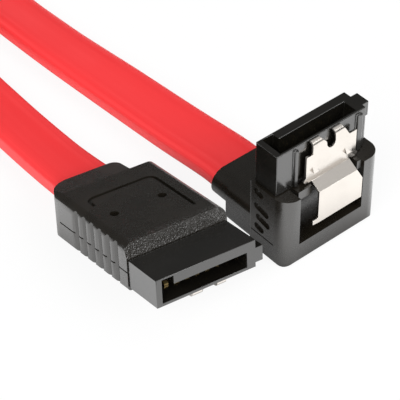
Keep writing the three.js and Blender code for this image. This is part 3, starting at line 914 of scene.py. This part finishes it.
@dataclass(frozen=True)
class Softbox:
    """A square area lamp: where it stands and looks, its side in metres and its power in watts."""

    name: str
    location: Point
    side: float
    power: float
    target: Point = (-0.01, 0.01, 0.0)

    def build(self) -> None:
        """Makes the lamp."""
        light = bpy.data.lights.new(self.name, "AREA")
        light.size = self.side
        light.energy = self.power
        lamp = add_object(self.name, light)
        way = Vector(self.target) - Vector(self.location)
        turn = way.to_track_quat("-Z", "Y").to_matrix().to_4x4()
        lamp.matrix_world = Matrix.Translation(Vector(self.location)) @ turn


@dataclass(frozen=True)
class Studio:
    """A pale floor that keeps the shadow, a soft grey room and three softboxes, in metres."""

    floor_reach: float = 1.5
    floor_drop: float = 0.00003
    floor_colour: Colour = (0.96, 0.96, 0.96)
    floor_shine: float = 1.95
    far_shine: float = 0.2
    pool: Span = (0.04, 0.2)
    corner_reach: float = 0.006
    corner_samples: int = 8
    shadow_share: float = 0.11
    room: float = 0.26
    room_gloss: float = 0.12
    lamps: tuple[Softbox, ...] = (
        Softbox("key softbox", (-0.75, -0.35, 0.75), 0.6, 8.9),
        Softbox("front softbox", (0.25, -0.8, 0.6), 0.5, 4.9),
        Softbox("top softbox", (0.45, -0.33, 0.83), 1.1, 2.6),
    )

    @staticmethod
    def _seen_directly(graph: Graph) -> Value:
        """Gives 1 for rays that show the background: from the camera, off gloss or through glass."""
        through = graph.ray("Is Transmission Ray")
        return graph.ray("Is Camera Ray").largest(graph.ray("Is Glossy Ray")).largest(through)

    @staticmethod
    def _glow(graph: Graph, kind: str, strength: Value | float) -> Value:
        """Adds a white Emission or Background shader of one strength."""
        return graph.node(kind, {}, {"Color": _rgba(WHITE), "Strength": strength})

    def _mirrored_floor(self, graph: Graph) -> Value:
        """Gives the floor's strength as gloss mirrors it: a pool of light, dim in tight corners."""
        near, far = self.pool
        pool = graph.measure("LENGTH", graph.place()).step(far, near)
        corner = graph.node(
            "ShaderNodeAmbientOcclusion",
            {"samples": self.corner_samples},
            {"Distance": self.corner_reach},
            output="AO",
        )
        return (pool * (self.floor_shine - self.far_shine) + self.far_shine) * corner * corner

    def _floor(self) -> None:
        """Makes the floor: white to the camera, less a share of the shadow that falls on it."""
        reach = self.floor_reach
        sides = ((-reach, -reach), (reach, -reach), (reach, reach), (-reach, reach))
        mesh = bpy.data.meshes.new("floor")
        mesh.from_pydata([(x, y, -self.floor_drop) for x, y in sides], [], [(0, 1, 2, 3)])
        floor = add_object("floor", mesh)
        material, graph = new_graph("pale floor")
        matte = graph.node("ShaderNodeBsdfDiffuse", {}, {"Color": _rgba(self.floor_colour)})
        strength = graph.ray("Is Glossy Ray") * (self._mirrored_floor(graph) - 1.0) + 1.0
        white = self._glow(graph, "ShaderNodeEmission", strength)
        share = self._seen_directly(graph) * (1 - self.shadow_share)
        surface = graph.node("ShaderNodeMixShader", {}, {0: share, 1: matte, 2: white})
        graph.node_output("ShaderNodeOutputMaterial", surface)
        mesh.materials.append(material)

    def _room(self) -> None:
        """Makes the world: grey light, dimmer in gloss, and white where the camera sees it."""
        world = bpy.data.worlds.new("studio room")
        world.use_nodes = True
        graph = Graph(world.node_tree)
        strength = graph.ray("Is Glossy Ray") * (self.room_gloss - self.room) + self.room
        grey = self._glow(graph, "ShaderNodeBackground", strength)
        white = self._glow(graph, "ShaderNodeBackground", 1.0)
        seen = graph.ray("Is Camera Ray")
        surface = graph.node("ShaderNodeMixShader", {}, {0: seen, 1: grey, 2: white})
        graph.node_output("ShaderNodeOutputWorld", surface)
        bpy.context.scene.world = world

    def build(self) -> None:
        """Makes floor, room and lamps, and sets the plain view transform."""
        self._floor()
        self._room()
        for lamp in self.lamps:
            lamp.build()
        bpy.context.scene.view_settings.view_transform = "Standard"


def main() -> None:
    """Builds the camera, the cable, both plugs and the studio."""
    logging.basicConfig(level=logging.INFO, format="%(name)s: %(message)s")
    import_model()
    PhotographView().build()
    finishes = {
        Slot.PLUG: PLUG_BLACK.material(),
        Slot.BOOT: BOOT_BLACK.material(),
        Slot.STEEL: SPRING_STEEL.material(),
        Slot.GOLD: CONTACT_GOLD.material(),
        Slot.MOULD: PALE_MOULD.material(),
        Slot.JACKET: RED_JACKET.material(),
    }
    place = StraightPlace()
    FlatCable().build(place.matrix(), finishes[Slot.JACKET])
    Plug("straight", Body.STRAIGHT_PRESS, place.boot_finish().material()).build(finishes)
    Plug("angled", Body.ANGLED_PRESS, finishes[Slot.BOOT]).build(finishes)
    Studio().build()


if __name__ == "__main__":
    main()
